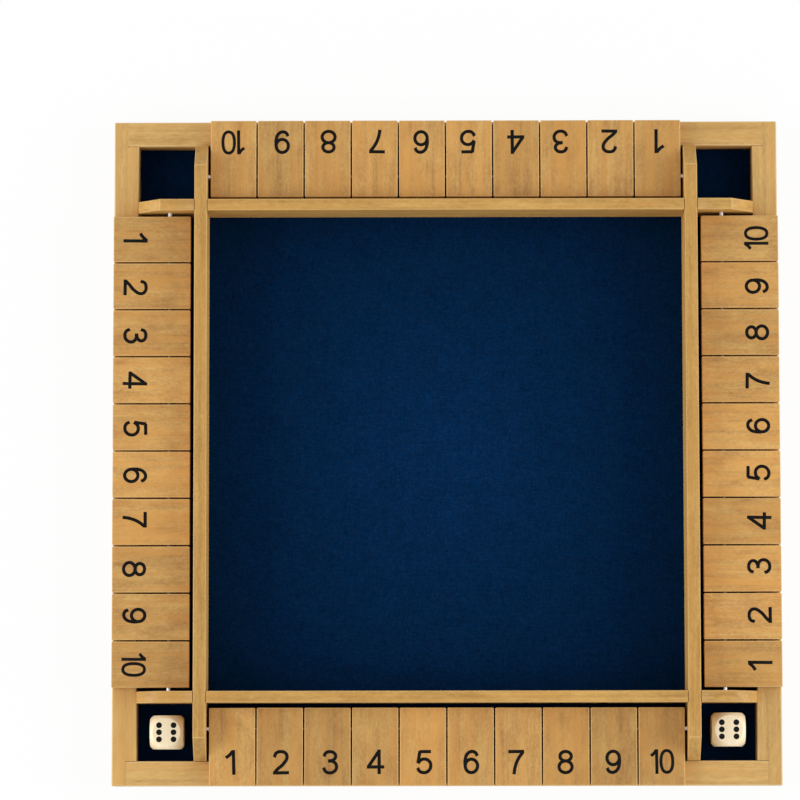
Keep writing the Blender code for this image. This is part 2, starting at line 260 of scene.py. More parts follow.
def pine(name, early, late, amber, worn_and_highlight, roughness, band_width, drawn_out):
    """Stained pine from the colours of early wood, late wood, resin, and eased edges that are worn and painted
    lighter as a highlight.
    """
    material, shader = new_finish(name, IOR=1.5, Specular_IOR_Level=0.3, Diffuse_Roughness=0.25)
    plank = add_node(material, "Attribute", attribute_name="plank").outputs["Vector"]
    tone = add_node(material, "Attribute", attribute_name="tone").outputs["Fac"]
    eased = add_node(material, "Attribute", attribute_name="eased").outputs["Fac"]

    def grain(stretch, width, **settings):
        """Noise drawn out along the grain by that factor, with its features that wide."""
        place = add_node(material, "Mapping", {0: plank, "Scale": (1 / stretch / drawn_out, 1, 1)}).outputs[0]
        values = {0: place, "Scale": 1 / width, **settings}
        return add_node(material, "TexNoise", values).outputs[0]

    bands = grain(18, band_width, Detail=2.0, Distortion=0.4)
    fibre = grain(20, FIBRE_WIDTH, Detail=3.0, Roughness=0.65, Distortion=0.3)
    pores = grain(2.0, PORE_WIDTH, Detail=2.0, Roughness=0.7)
    blotch = grain(2.0, BLOTCH_SIZE, Detail=4.0, Roughness=0.62, Distortion=0.5)
    warm = grain(9, WARM_WIDTH, Detail=2.0, Distortion=0.4)
    batch = grain(1, BATCH_SIZE, Detail=0.0)

    drawn = add_node(material, "Mapping", {0: plank, "Scale": (RING_STRETCH, 1, 1)}).outputs[0]
    wave = add_node(material, "TexWave", {
        0: drawn, "Scale": WAVE_PERIOD / RING_SPACING, "Distortion": 7.0, "Detail": 2.0,
        "Detail Scale": 0.5}, wave_type="RINGS", rings_direction="X").outputs["Fac"]
    late_lines = add_node(material, "MapRange", {0: wave, 1: 0.72, 2: 1.0}).outputs[0]

    coarse = add_node(material, "Mix", {0: BLOTCH_SHARE, 2: bands, 3: blotch}).outputs[0]
    fine = add_node(material, "Mix", {0: PORE_SHARE, 2: fibre, 3: pores}).outputs[0]
    mixed = add_node(material, "Mix", {0: FINE_SHARE, 2: coarse, 3: fine}).outputs[0]
    spread = add_node(material, "MapRange", {0: mixed, 1: 0.40, 2: 0.60}).outputs[0]
    figure = add_node(material, "Mix", {0: LATE_SHARE, 2: spread, 3: late_lines}).outputs[0]
    streaks = add_node(material, "Mix", {
        0: figure, 6: srgb(early), 7: srgb(late)}, data_type="RGBA").outputs[2]

    leaning = add_node(material, "Mix", {0: BATCH_SHARE, 2: warm, 3: batch}).outputs[0]
    warmth = add_node(material, "MapRange", {0: leaning, 1: 0.42, 2: 0.62, 4: AMBER_MOST}).outputs[0]
    warmed = add_node(material, "Mix", {
        0: warmth, 6: streaks, 7: srgb(amber)}, data_type="RGBA").outputs[2]

    value = add_node(material, "Math", {0: tone, 1: 1.0}, operation="ADD").outputs[0]
    toned = add_node(material, "HueSaturation", {"Value": value, "Color": warmed}).outputs[0]
    # eased faces painted lighter: partly worn stain, partly a painted highlight
    colour = add_node(material, "Mix", {
        0: eased, 6: toned, 7: srgb(worn_and_highlight)}, data_type="RGBA").outputs[2]

    dull = add_node(material, "MapRange", {0: fine, 3: roughness + 0.08, 4: roughness - 0.08}).outputs[0]
    bump = add_node(material, "Bump", {"Height": fine, "Distance": GRAIN_BUMP, "Strength": 0.5}).outputs[0]
    for socket, source in (("Base Color", colour), ("Roughness", dull), ("Normal", bump)):
        material.node_tree.links.new(source, shader.inputs[socket])
    return material


rail_pine = pine("oiled_pine", "#e4bd78", "#bb9153", "#dbaa61", "#e8c88c", 0.55, 3.5, 2.2)
divider_pine = pine("varnished_pine", "#dcb064", "#b08240", "#d29d50", "#e0ba78", 0.50, 2.0, 1.5)
tile_pine = pine("stained_pine", "#d7ad66", "#ad7c44", "#d59b4f", "#e4bd7c", 0.52, 5.0, 1.0)
print("pine materials:", rail_pine.name, divider_pine.name, tile_pine.name)

# %% [markdown]
# ## Marks on the wood
#
# Before a saw cut, a joiner marks where each piece lies in its plank. Here the mark is an attribute on the
# mesh, called plank, in millimetres: along the grain, across it, and through the thickness. Each piece
# starts somewhere else in the wood, so no two tiles are alike. A second attribute, tone, says how light or
# dark the piece took the stain. A third, eased, marks the narrow sanded faces along the edges. These are
# painted lighter, partly as stain worn off and partly as a painted highlight. Object coordinates could place
# the grain too, but then one pattern would run on from tile to tile, as if the whole lane were one board.


# %% Where a piece lies in its plank
EASED_WIDTH = 1.2 * MM
WORN_AND_HIGHLIGHT_SHARE = 0.7  # how far an eased edge is painted lighter: worn stain and a painted highlight
SEED = 12


def is_eased(mesh, face):
    """A sanded edge is a narrow face that isn't square to the piece."""
    corners = [mesh.vertices[i].co for i in face.vertices]
    around = sum((a - b).length for a, b in zip(corners, corners[1:] + corners[:1]))
    return max(abs(v) for v in face.normal) < 0.98 and 2 * face.area / around < EASED_WIDTH


def mark_plank(item, to_plank, start, tone):
    """Stores each point's place in the plank in mm, how dark the stain took, and the eased faces."""
    mesh = item.data
    for name, kind, domain in (("plank", "FLOAT_VECTOR", "POINT"), ("tone", "FLOAT", "POINT"),
                               ("eased", "FLOAT", "FACE")):
        mesh.attributes.new(name, kind, domain)
    plank, stain, eased = (mesh.attributes[name] for name in ("plank", "tone", "eased"))
    for index, vert in enumerate(mesh.vertices):
        plank.data[index].vector = (to_plank @ vert.co) / MM + Vector(start)
        stain.data[index].value = tone
    for index, face in enumerate(mesh.polygons):
        eased.data[index].value = WORN_AND_HIGHLIGHT_SHARE if is_eased(mesh, face) else 0.0


ALONG_X = Matrix.Identity(3)
ALONG_Y = Matrix(((0, 1, 0), (1, 0, 0), (0, 0, 1)))
PLANK_STEP = 700.0  # mm along the trunk from one piece to the next, longer than any of them
draw = random.Random(SEED)
print("plank marks ready")

# %% [markdown]
# ## Rails and dividers
#
# The frame is four rails, the side ones running full length with the end ones let into them. Four taller
# dividers stand inside it, notched into each other where they cross. Their shapes are right in the CAD
# model, but its facets are shaded flat. A copy is welded, its triangles are merged back into whole faces, and
# weighted normals then turn each narrow facet along an edge into a soft sanded round.
#
# Two small things make them look joined by hand. The CAD model leaves 0.2 mm of play in its joints, and glue
# closes that to a hairline, so the end rails' joint faces move out by most of it. And the crease where a
# divider's top turns down into its sloped end is rounded with sandpaper, which catches the light. Only the
# south divider's creases are left as they were cut.

# %% Rails and dividers
def refined(node, name):
    """A welded copy of a CAD node with whole faces."""
    item = put(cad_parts[node], Matrix.Identity(4), name)
    only(item)
    bpy.ops.object.mode_set(mode="EDIT")
    bpy.ops.mesh.select_all(action="SELECT")
    bpy.ops.mesh.remove_doubles(threshold=WELD)
    bpy.ops.mesh.dissolve_limited(angle_limit=math.radians(0.5))
    bpy.ops.object.mode_set(mode="OBJECT")
    return item


def push_face(item, axis, side, reach):
    """Moves the flat face at one side of a piece outwards, to close a glued joint to a hairline."""
    edge = max(side * vert.co[axis] for vert in item.data.vertices)
    for vert in item.data.vertices:
        if side * vert.co[axis] > edge - TOUCH:
            vert.co[axis] += side * reach


# the sanded crease's narrow faces count as eased, so they are painted lighter as a highlight too
def ease_slopes(item, axis):
    """Sands the two edges where a divider's top turns down into its sloped ends."""
    top = max(vert.co.z for vert in item.data.vertices)
    crest = max(abs(vert.co[axis]) for vert in item.data.vertices if vert.co.z > top - TOUCH)
    open_edges(item, lambda a, b: all(abs(abs(v[axis]) - crest) < SLOPE_EASE and v.z > top - MM for v in (a, b))
               and abs(a[1 - axis] - b[1 - axis]) > MM / 10)
    bpy.ops.mesh.bevel(offset=SLOPE_EASE, segments=2, profile=0.5, affect="EDGES")
    bpy.ops.object.mode_set(mode="OBJECT")


JOINT_CLOSED = 0.15 * MM    # leaves a hairline
TIGHT_JOINT = 0.19 * MM     # at the north rail's ends, where no line shows
SLOPE_EASE = 0.35 * MM
HEART_ASIDE, HEART_BELOW = (25, 60), (20, 50)  # mm from the tree's heart to the piece
STAIN_DRIFT = 0.02          # share by which a piece is lighter or darker
SIDE_DIVIDER_STAIN = -0.04  # the side dividers took the varnish darker
wooden = [(kind, lane) for kind in ("rail", "divider") for lane in LANES]
for index, (kind, lane) in enumerate(wooden):
    node = f"{kind}_{lane}"
    piece = refined(node, f"{kind}_{lane}_sanded")
    runs_along_x = lane in ("south", "north")
    if kind == "divider" and lane != "south":
        ease_slopes(piece, 0 if runs_along_x else 1)
    if kind == "rail" and runs_along_x:
        for axis, side in ((0, -1), (0, 1), (1, 1 if lane == "south" else -1)):
            push_face(piece, axis, side, JOINT_CLOSED if axis or lane == "south" else TIGHT_JOINT)
    smooth(piece, 50)
    grain = ALONG_X if runs_along_x else ALONG_Y
    start = (index * PLANK_STEP, draw.uniform(*HEART_ASIDE), draw.uniform(*HEART_BELOW))
    darker = SIDE_DIVIDER_STAIN if kind == "divider" and not runs_along_x else 0.0
    mark_plank(piece, grain, start, draw.uniform(-STAIN_DRIFT, STAIN_DRIFT) + darker)
    dress(piece, rail_pine if kind == "rail" else divider_pine, "frame_wood", "root", node)
print("rails and dividers:", len(wooden))

# %% [markdown]
# ## Tiles
#
# A tile is a small pine board, 5.4 mm thick, drilled across near its inner end for the rod. It is modelled
# once: a block, its four corners rounded, the rims above and below eased with a finer bevel, and the hole
# drilled with a Boolean. Sanding takes a little more off the sides and the inner end than the CAD model
# does, so the gaps between tiles show as fine dark lines.

# %% The tile
TILE_CORNER = 0.45 * MM
TILE_RIM = 0.4 * MM
TILE_SANDED = 0.17 * MM      # off the width
TILE_END_SANDED = 0.3 * MM   # off the inner end
BORE_RADIUS = 1.4 * MM
BORE_SIDES = 32

tile_low, tile_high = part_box("tile_south_01")
tile_size = tile_high - tile_low
tile_size.x -= TILE_SANDED
rod_offset = middle_of("rod_south").y - middle_of("tile_south_01").y

tile = block("tile", -tile_size / 2, tile_size / 2 - Vector((0, TILE_END_SANDED, 0)))
open_edges(tile, lambda a, b: abs(a.z - b.z) > tile_size.z / 2)
bpy.ops.mesh.bevel(offset=TILE_CORNER, segments=5, profile=0.5, affect="EDGES")
open_edges(tile, lambda a, b: abs(a.z - b.z) < TOUCH)
bpy.ops.mesh.bevel(offset=TILE_RIM, segments=3, profile=0.5, affect="EDGES")
bpy.ops.object.mode_set(mode="OBJECT")

bpy.ops.mesh.primitive_cylinder_add(vertices=BORE_SIDES, radius=BORE_RADIUS, depth=tile_size.x * 1.2,
                                    location=(0, rod_offset, 0), rotation=(0, math.pi / 2, 0))
cut(tile, started("drill"))
smooth(tile, 40)
print("tile:", [round(v / MM, 2) for v in tile_size], "faces:", len(tile.data.polygons))

# %% [markdown]
# The forty copies differ as sawn wood does, by their place in the plank and their stain. Each hangs a hair off
# square on its rod, because its hole is wider than the rod, and a lane's tiles sit slightly apart. One lane
# was stained from one pot, so each lane has its own depth of stain. The tile is marked while it still
# lies at the origin, square to the axes, and then goes to its place.

# %% The forty tiles
HANG_TURN = math.radians(0.12)
HANG_SLIP = (0.02 * MM, 0.10 * MM)  # towards the divider, as far as the hole lets a tile
SPREAD = 0.005                      # of a tile's width, added from tile to tile
LANE_SLIP = {"south": 0.0, "east": 0.0, "north": 0.12 * MM, "west": 0.05 * MM}  # the same for a whole lane
LANE_STAIN = {"south": -0.045, "east": 0.09, "north": -0.015, "west": 0.075}    # share of lighter or darker
TILE_STAIN_DRIFT = 0.13
TILE_ASIDE, TILE_BELOW = (-45, 45), (12, 40)  # mm from the tree's heart to the tile
LANE_MIDDLE = 5.5                   # the number that would stand in a lane's middle
rod_middle = Vector((0, rod_offset, 0))
tile_places = {}
for lane in LANES:
    for number in NUMBERS:
        node = f"tile_{lane}_{number:02d}"
        slip = Vector((SPREAD * (number - LANE_MIDDLE) * tile_size.x,
                       LANE_SLIP[lane] + draw.uniform(*HANG_SLIP), 0))
        hang = Matrix.Translation(rod_middle + slip) @ Matrix.Rotation(
            draw.uniform(-HANG_TURN, HANG_TURN), 4, "Z") @ Matrix.Translation(-rod_middle)
        place = Matrix.Translation(middle_of(node)) @ lane_turn(lane) @ hang
        tile_places[node] = place
        piece = put(tile, Matrix.Identity(4), node + "_sanded")
        start = (len(tile_places) * PLANK_STEP, draw.uniform(*TILE_ASIDE), draw.uniform(*TILE_BELOW))
        mark_plank(piece, ALONG_Y, start, draw.uniform(-TILE_STAIN_DRIFT, TILE_STAIN_DRIFT) + LANE_STAIN[lane])
        put(piece, place, keep=False)
        dress(piece, tile_pine, "tile_wood", node, node)
bpy.data.objects.remove(tile)
print("tiles:", len(tile_places))

# %% [markdown]
# ## Numbers
#
# Each tile is printed with a plain number in near black ink, 11 mm high with strokes of 1.5 mm, which the
# lane's player reads from outside the board. A font would bring its own weight and width, so the numbers are
# drawn here. Each stroke is a centre line, straight, bent or closed in a loop. The 9 is the 6 turned round,
# and the 10 has narrower figures that stand close together.

# %% Strokes of the numbers, in mm from the middle of the number, y up
NUMBER_STROKES = {
    "0": [("loop", [(0, 4.9), (-2.9, 0), (0, -4.9), (2.9, 0)])],
    "1": [("line", [(1.35, 5.65), (1.35, -5.65)]), ("bend", [(-2.2, 2.2), (-0.8, 3.15), (0.35, 4.3), (1.0, 5.15)])],
    "2": [("bend", [(-2.95, 2.3), (-2.1, 4.2), (0.05, 4.87), (2.25, 4.1), (2.9, 2.35), (1.3, -0.65), (-1.9, -3.5),
                    (-2.9, -4.7)]),
          ("line", [(-3.65, -4.87), (3.7, -4.87)])],
    "3": [("bend", [(-2.85, 2.6), (-2.0, 4.25), (-0.05, 4.87), (1.85, 4.2), (2.5, 2.7), (1.5, 1.1), (-0.9, 0.55)]),
          ("bend", [(-0.9, 0.6), (1.85, 0.1), (3.0, -1.85), (2.1, -4.05), (-0.1, -4.87), (-2.1, -4.15),
                    (-2.95, -2.5)])],
    "4": [("line", [(1.6, 5.65), (1.6, -5.65)]), ("line", [(1.65, 5.1), (-3.45, -2.35)]),
          ("line", [(-4.05, -2.35), (3.95, -2.35)])],
    "5": [("line", [(-2.05, 4.82), (3.15, 4.82)]), ("line", [(-1.9, 5.1), (-2.85, -0.45)]),
          ("bend", [(-2.85, -0.55), (-1.6, 0.9), (0.1, 1.4), (2.2, 0.55), (3.05, -1.6), (2.0, -4.0), (-0.15, -4.82),
                    (-2.1, -4.15), (-3.0, -2.6)])],
    "6": [("loop", [(0.05, 1.3), (-2.75, -1.75), (0.05, -4.85), (2.95, -1.75)]),
          ("bend", [(2.8, 2.8), (2.0, 4.25), (0.3, 4.85), (-1.75, 3.75), (-2.75, 1.2), (-2.85, -1.3)])],
    "7": [("line", [(-3.7, 4.82), (3.6, 4.82)]), ("bend", [(3.1, 4.6), (0.9, 1.6), (-0.6, -2.0), (-1.25, -5.6)])],
    "8": [("loop", [(0, 4.85), (-2.6, 2.7), (0, 0.5), (2.6, 2.7)]),
          ("loop", [(0, 0.5), (-3.0, -2.2), (0, -4.85), (3.0, -2.2)])],
}
NUMBER_STROKES["9"] = [(kind, [(-x, -y) for x, y in points]) for kind, points in NUMBER_STROKES["6"]]
NUMBER_STROKES["10"] = [
    ("line", [(-2.55, 5.65), (-2.55, -5.65)]), ("bend", [(-5.2, 2.7), (-4.2, 3.4), (-3.3, 4.4), (-2.8, 5.2)]),
    ("loop", [(2.1, 5.0), (-0.6, 0), (2.1, -5.0), (4.8, 0)])]
print("strokes for", sorted(NUMBER_STROKES))

# %% [markdown]
# A centre line becomes a curve with a flat width, like the pull of a broad pen. It is made mesh and given
# the thickness of the ink, and sinks a little into the wood, as ink does. The strokes of a number are
# joined by Booleans, so that it is one closed shape.

# %% Ink
INK_THICKNESS = 0.05 * MM
INK_SUNK = 0.03 * MM
STROKE_WIDTH = 1.5 * MM
NARROW_STROKE = 1.4 * MM


def stroke(kind, points, width):
    """One pull of the pen: a curve through those points, with a flat width, made mesh and given thickness."""
    line = bpy.data.curves.new("stroke", "CURVE")
    line.dimensions = "3D"
    line.twist_mode = "Z_UP"
    line.resolution_u = 10
    line.extrude = width / 2
    spline = line.splines.new("BEZIER")
    spline.bezier_points.add(len(points) - 1)
    spline.use_cyclic_u = kind == "loop"
    for point, (x, y) in zip(spline.bezier_points, points):
        point.co = (x * MM, y * MM, 0)
        point.tilt = math.pi / 2
        point.handle_left_type = point.handle_right_type = "VECTOR" if kind == "line" else "AUTO"
    item = bpy.data.objects.new("stroke", line)
    bpy.context.scene.collection.objects.link(item)
    only(item)
    bpy.ops.object.convert(target="MESH")
    item = bpy.context.object
    bpy.ops.object.mode_set(mode="EDIT")
    bpy.ops.mesh.select_all(action="SELECT")
    bpy.ops.mesh.remove_doubles(threshold=WELD)
    bpy.ops.object.mode_set(mode="OBJECT")
    finish_with(item, "SOLIDIFY", thickness=INK_THICKNESS + INK_SUNK, offset=0)
    bpy.ops.object.mode_set(mode="EDIT")
    bpy.ops.mesh.select_all(action="SELECT")
    bpy.ops.mesh.normals_make_consistent(inside=False)
    bpy.ops.object.mode_set(mode="OBJECT")
    return item


numbers = {}
for number in NUMBERS:
    width = NARROW_STROKE if number == 10 else STROKE_WIDTH
    first, *rest = [stroke(kind, points, width) for kind, points in NUMBER_STROKES[str(number)]]
    for other in rest:
        cut(first, other, "UNION")
    numbers[number] = first
print("faces of each number:", [len(item.data.polygons) for item in numbers.values()])

# %% [markdown]
# The ink is a screen print: matt, not quite black, and a touch uneven where it lies on the wood's fibres.

# %% Ink material
INK_SPECKLE = 0.6 * MM
ink, shader = new_finish("screen_printing_ink", IOR=1.5, Specular_IOR_Level=0.1)
place = add_node(ink, "TexCoord").outputs["Object"]
speckle = add_node(ink, "TexNoise", {0: place, "Scale": 1 / INK_SPECKLE, "Detail": 2.0}).outputs[0]
uneven = add_node(ink, "Mix", {0: speckle, 6: srgb("#050505"), 7: srgb("#0d0c0b")}, data_type="RGBA")
dull = add_node(ink, "MapRange", {0: speckle, 3: 0.5, 4: 0.7})
ink.node_tree.links.new(uneven.outputs[2], shader.inputs["Base Color"])
ink.node_tree.links.new(dull.outputs[0], shader.inputs["Roughness"])
print("ink:", ink.name)

# %% [markdown]
# One screen printed every lane, so a number that sits off its tile's middle does so in all four: the 3 stands
# to the right, and the 1 and the 7 to the left. Between lanes the screen lay a little nearer or farther from
# the tiles' ends. The rest is a small random drift and lean. A printed number is carried by its tile.

# %% Numbers on the tiles
NUMBER_FROM_END = 10.9 * MM  # from the tile's outer end to the number's middle
NUMBER_DRIFT = 0.15 * MM
PRINTED_ASIDE = (-0.7, 0.5, 1.1, 0.15, 0.45, 0.25, -0.9, -0.25, -0.55, 0.05)  # mm to the right, for 1 to 10
PRINTED_OUT = {"south": 0.0, "east": 0.7, "north": 0.8, "west": 0.5}          # mm nearer the outer end
NUMBER_LEAN = math.radians(1.2)
for lane in LANES:
    for number in NUMBERS:
        node = f"tile_{lane}_{number:02d}"
        from_end = NUMBER_FROM_END - PRINTED_OUT[lane] * MM
        spot = Vector((PRINTED_ASIDE[number - 1] * MM + draw.uniform(-NUMBER_DRIFT, NUMBER_DRIFT),
                       from_end - tile_size.y / 2 + draw.uniform(-NUMBER_DRIFT, NUMBER_DRIFT),
                       tile_size.z / 2 + (INK_THICKNESS - INK_SUNK) / 2))
        lean = Matrix.Rotation(draw.uniform(-NUMBER_LEAN, NUMBER_LEAN), 4, "Z")
        place = tile_places[node] @ Matrix.Translation(spot) @ lean
        printed = put(numbers[number], place, f"number_{lane}_{number:02d}")
        dress(printed, ink, "number_ink", node)
for template in numbers.values():
    bpy.data.objects.remove(template)
print("printed numbers:", len(tile_places))

# %% [markdown]
# ## Rods
#
# A bright steel rod, 2.1 mm thick, runs through each lane. It is a many sided cylinder with broken ends.
# Drawing the steel leaves fine lines, which vary its satin roughness. Where the rod runs under the tiles its
# colour is painted dark brown as shade, and only its ends beyond the tile rows keep the bright steel colour.
# The distance along a rod is the smaller of the two distances from the board's middle, so one material serves all
# four lanes.

# %% Rods
TILE_ROW_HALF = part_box("tile_south_10")[1].x
DRAWN_LINE = 0.25 * MM
ROD_BEVEL = 0.2 * MM
ROD_SIDES = 32
steel, shader = new_finish("drawn_steel", Metallic=1.0)
place = add_node(steel, "TexCoord").outputs["Object"]
across = add_node(steel, "SeparateXYZ", {0: add_node(
    steel, "VectorMath", {0: place}, operation="ABSOLUTE").outputs[0]}).outputs
along = add_node(steel, "Math", {0: across[0], 1: across[1]}, operation="MINIMUM").outputs[0]
# painted shade: the rod is coloured dark brown where it runs under the tiles
unshaded_rod_ends = add_node(steel, "MapRange", {0: along, 1: TILE_ROW_HALF - MM, 2: TILE_ROW_HALF}).outputs[0]
shine = add_node(steel, "Mix", {0: unshaded_rod_ends, 6: srgb("#7a6a58"), 7: srgb("#f0f0f2")}, data_type="RGBA").outputs[2]
steel.node_tree.links.new(shine, shader.inputs["Base Color"])
lines = add_node(steel, "TexNoise", {0: place, "Scale": 1 / DRAWN_LINE, "Detail": 2.0}).outputs[0]
drawn = add_node(steel, "MapRange", {0: lines, 3: 0.42, 4: 0.58}).outputs[0]
steel.node_tree.links.new(drawn, shader.inputs["Roughness"])

rod_low, rod_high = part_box("rod_south")
rod_length, rod_radius = rod_high.x - rod_low.x, (rod_high.z - rod_low.z) / 2
bpy.ops.mesh.primitive_cylinder_add(vertices=ROD_SIDES, radius=rod_radius, depth=rod_length,
                                    rotation=(0, math.pi / 2, 0))
rod = started("rod")
open_edges(rod, lambda a, b: abs(a.x - b.x) < TOUCH and abs(a.x) > rod_length / 2 - TOUCH)
bpy.ops.mesh.bevel(offset=ROD_BEVEL, segments=2, profile=0.5, affect="EDGES")
bpy.ops.object.mode_set(mode="OBJECT")
smooth(rod, 40)
for lane in LANES:
    node = "rod_" + lane
    piece = put(rod, Matrix.Translation(middle_of(node)) @ lane_turn(lane), node + "_drawn")
    dress(piece, steel, "rod_steel", "root", node)
bpy.data.objects.remove(rod)
print("rods:", len(LANES), "length mm:", round(rod_length / MM, 1))

# %% [markdown]
# ## Felt
#
# One sheet of navy wool felt lies on the whole base. Felt has no weave: its fibres are matted, so it shows
# a fine mottle, and it throws back almost no light. The sheet is a slab with a dense grid on top, whose
# points rise and fall by hundredths of a millimetre.

# %% Felt sheet
FELT_GRID = 140
FELT_FLUFF = 0.10 * MM
FLUFF_SPACING = 5 * MM
felt_low, felt_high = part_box("felt_lining")
felt_size = felt_high - felt_low
bpy.ops.mesh.primitive_grid_add(x_subdivisions=FELT_GRID, y_subdivisions=FELT_GRID, size=felt_size.x,
                                location=(0, 0, felt_high.z))
felt = started("felt_sheet")
matted = bpy.data.textures.new("matted_fibres", "CLOUDS")
matted.noise_scale = FLUFF_SPACING
finish_with(felt, "DISPLACE", texture=matted, texture_coords="LOCAL", mid_level=0.5, strength=FELT_FLUFF)
finish_with(felt, "SOLIDIFY", thickness=felt_size.z, offset=-1)
bpy.ops.object.shade_smooth_by_angle(angle=math.radians(40))
print("felt mm:", [round(v / MM, 1) for v in felt_size])

# %% [markdown]
# The dye is an even navy. Two noises drawn out crosswise give the matted fibres, and a fine one adds pale lint.
# A painted shade darkens the felt from the middle towards the edges of the board. Sheen would make
# the felt glow at low angles, which this thin hard felt does not, so the shader is nearly all diffuse.

# %% Felt material
FELT_SHADE_REACH = 0.19         # m from the middle to where the painted shade is darkest
FELT_SHADE_EDGE = 0.39          # brightness there, against 1 in the middle
WOOL_WIDTH = 0.8 * MM    # drawn coarser than real wool fibres (0.02 mm)
WOOL_LIES = ((1, 0.25, 1), (0.25, 1, 1))  # drawn out fourfold along y, and fourfold along x
WOOL_PATCH = 9 * MM
cloth, shader = new_finish("wool_felt", Roughness=0.95, Specular_IOR_Level=0.02)
place = add_node(cloth, "TexCoord").outputs["Object"]
strands = []
for lie in WOOL_LIES:
    laid = add_node(cloth, "Mapping", {0: place, "Scale": lie}).outputs[0]
    strands.append(add_node(cloth, "TexNoise", {
        0: laid, "Scale": 1 / WOOL_WIDTH, "Detail": 3.0, "Roughness": 0.7}).outputs[0])
nap = add_node(cloth, "Mix", {0: 0.5, 2: strands[0], 3: strands[1]}).outputs[0]
patches = add_node(cloth, "TexNoise", {0: place, "Scale": 1 / WOOL_PATCH, "Detail": 2.0}).outputs[0]
mottle = add_node(cloth, "Mix", {0: 0.14, 2: nap, 3: patches}).outputs[0]
spread = add_node(cloth, "MapRange", {0: mottle, 1: 0.38, 2: 0.62}).outputs[0]
navy = add_node(cloth, "Mix", {0: spread, 6: srgb("#002041"), 7: srgb("#032d57")}, data_type="RGBA").outputs[2]
lint = add_node(cloth, "TexNoise", {0: place, "Scale": 1 / WOOL_WIDTH, "Detail": 1.0}).outputs[0]
hairs = add_node(cloth, "MapRange", {0: lint, 1: 0.45, 2: 0.80, 4: 0.04}).outputs[0]
linted = add_node(cloth, "Mix", {0: hairs, 6: navy, 7: srgb("#6c7078")}, data_type="RGBA").outputs[2]
# painted shade: the felt's colour darkens with distance from the board's middle
reach = add_node(cloth, "VectorMath", {0: place}, operation="LENGTH").outputs["Value"]
painted_felt_shade = add_node(cloth, "MapRange", {0: reach, 2: FELT_SHADE_REACH, 3: 1.0, 4: FELT_SHADE_EDGE}).outputs[0]
shaded = add_node(cloth, "HueSaturation", {"Value": painted_felt_shade, "Color": linted}).outputs[0]
fuzz = add_node(cloth, "Bump", {"Height": nap, "Distance": 0.0001, "Strength": 0.5}).outputs[0]
cloth.node_tree.links.new(shaded, shader.inputs["Base Color"])
cloth.node_tree.links.new(fuzz, shader.inputs["Normal"])
dress(felt, cloth, "navy_felt", "root", "felt_lining")
print("felt material:", cloth.name)

# %% [markdown]
# ## Base
#
# Under the felt lies a thin panel of birch plywood, let in flush with the frame. It shows only from below,
# as a pale peeled veneer with wide wavy figure.

# %% Plywood
VENEER_FIGURE = (30, 160, 160)    # per metre: waves 33 mm long and 6 mm wide
VENEER_PORES = (200, 2500, 2500)  # per metre: pores 5 mm long and 0.4 mm wide, drawn coarser than real ones
plywood, shader = new_finish("birch_plywood", IOR=1.5)
place = add_node(plywood, "TexCoord").outputs["Object"]
peeled = add_node(plywood, "Mapping", {0: place, "Scale": VENEER_FIGURE}).outputs[0]
waves = add_node(plywood, "TexNoise", {0: peeled, "Scale": 1.0, "Detail": 3.0, "Distortion": 1.2}).outputs[0]
pores = add_node(plywood, "Mapping", {0: place, "Scale": VENEER_PORES}).outputs[0]
pore = add_node(plywood, "TexNoise", {0: pores, "Scale": 1.0, "Detail": 2.0}).outputs[0]
figure = add_node(plywood, "Mix", {0: 0.4, 2: waves, 3: pore}).outputs[0]
colour = add_node(plywood, "Mix", {0: figure, 6: srgb("#e2c79a"), 7: srgb("#c5a06c")}, data_type="RGBA").outputs[2]
dull = add_node(plywood, "MapRange", {0: figure, 3: 0.55, 4: 0.7}).outputs[0]
bump = add_node(plywood, "Bump", {"Height": pore, "Distance": GRAIN_BUMP, "Strength": 0.5}).outputs[0]
for socket, source in (("Base Color", colour), ("Roughness", dull), ("Normal", bump)):
    plywood.node_tree.links.new(source, shader.inputs[socket])
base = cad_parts["base_panel"]
base.data.materials.clear()
base.data.materials.append(plywood)
print("base:", plywood.name)

# %% [markdown]
# ## Dice
#
# The dice are pale beech, 16 mm cubes before tumbling, which takes 0.2 mm off each side and rounds the corners
# to a ball. A bevel gives a cube round edges but keeps square faces, and these faces are round. So a fine
# cube is blown up to the ball, and its six sides are then pressed flat, which leaves round flat faces
# with soft rims.

# %% Die
BALL_RADIUS = 10.15 * MM
DIE_CUTS = 39
PIP_RADIUS = 1.36 * MM
PIP_DEPTH = 0.4 * MM
PIP_ROW = 3.25 * MM
PIP_COLUMN = 3.35 * MM
PAINT_LEVEL = -0.06        # of a dimple's depth, so that the paint stays below the face
PAINT_CLEAR = 0.015 * MM   # between paint and wood
DIE_TUMBLED = 0.2 * MM     # off each side
die_low, die_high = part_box("die_west")
die_half = (die_high.z - die_low.z) / 2 - DIE_TUMBLED

bpy.ops.mesh.primitive_cube_add(size=2 * die_half)
die = started("die")
bpy.ops.object.mode_set(mode="EDIT")
bpy.ops.mesh.select_all(action="SELECT")
bpy.ops.mesh.subdivide(number_cuts=DIE_CUTS)
bpy.ops.transform.tosphere(value=1.0)
bpy.ops.object.mode_set(mode="OBJECT")
blown = max(vert.co.length for vert in die.data.vertices)
for vert in die.data.vertices:
    vert.co *= BALL_RADIUS / vert.co.length
print("ball from cube, radius before:", round(blown / MM, 2))

# %% [markdown]
# Each side is pressed by itself: the points beyond its plane are selected and scaled to nothing across that
# plane, with the plane itself as the centre. One light smoothing then softens the rim where flat meets round.

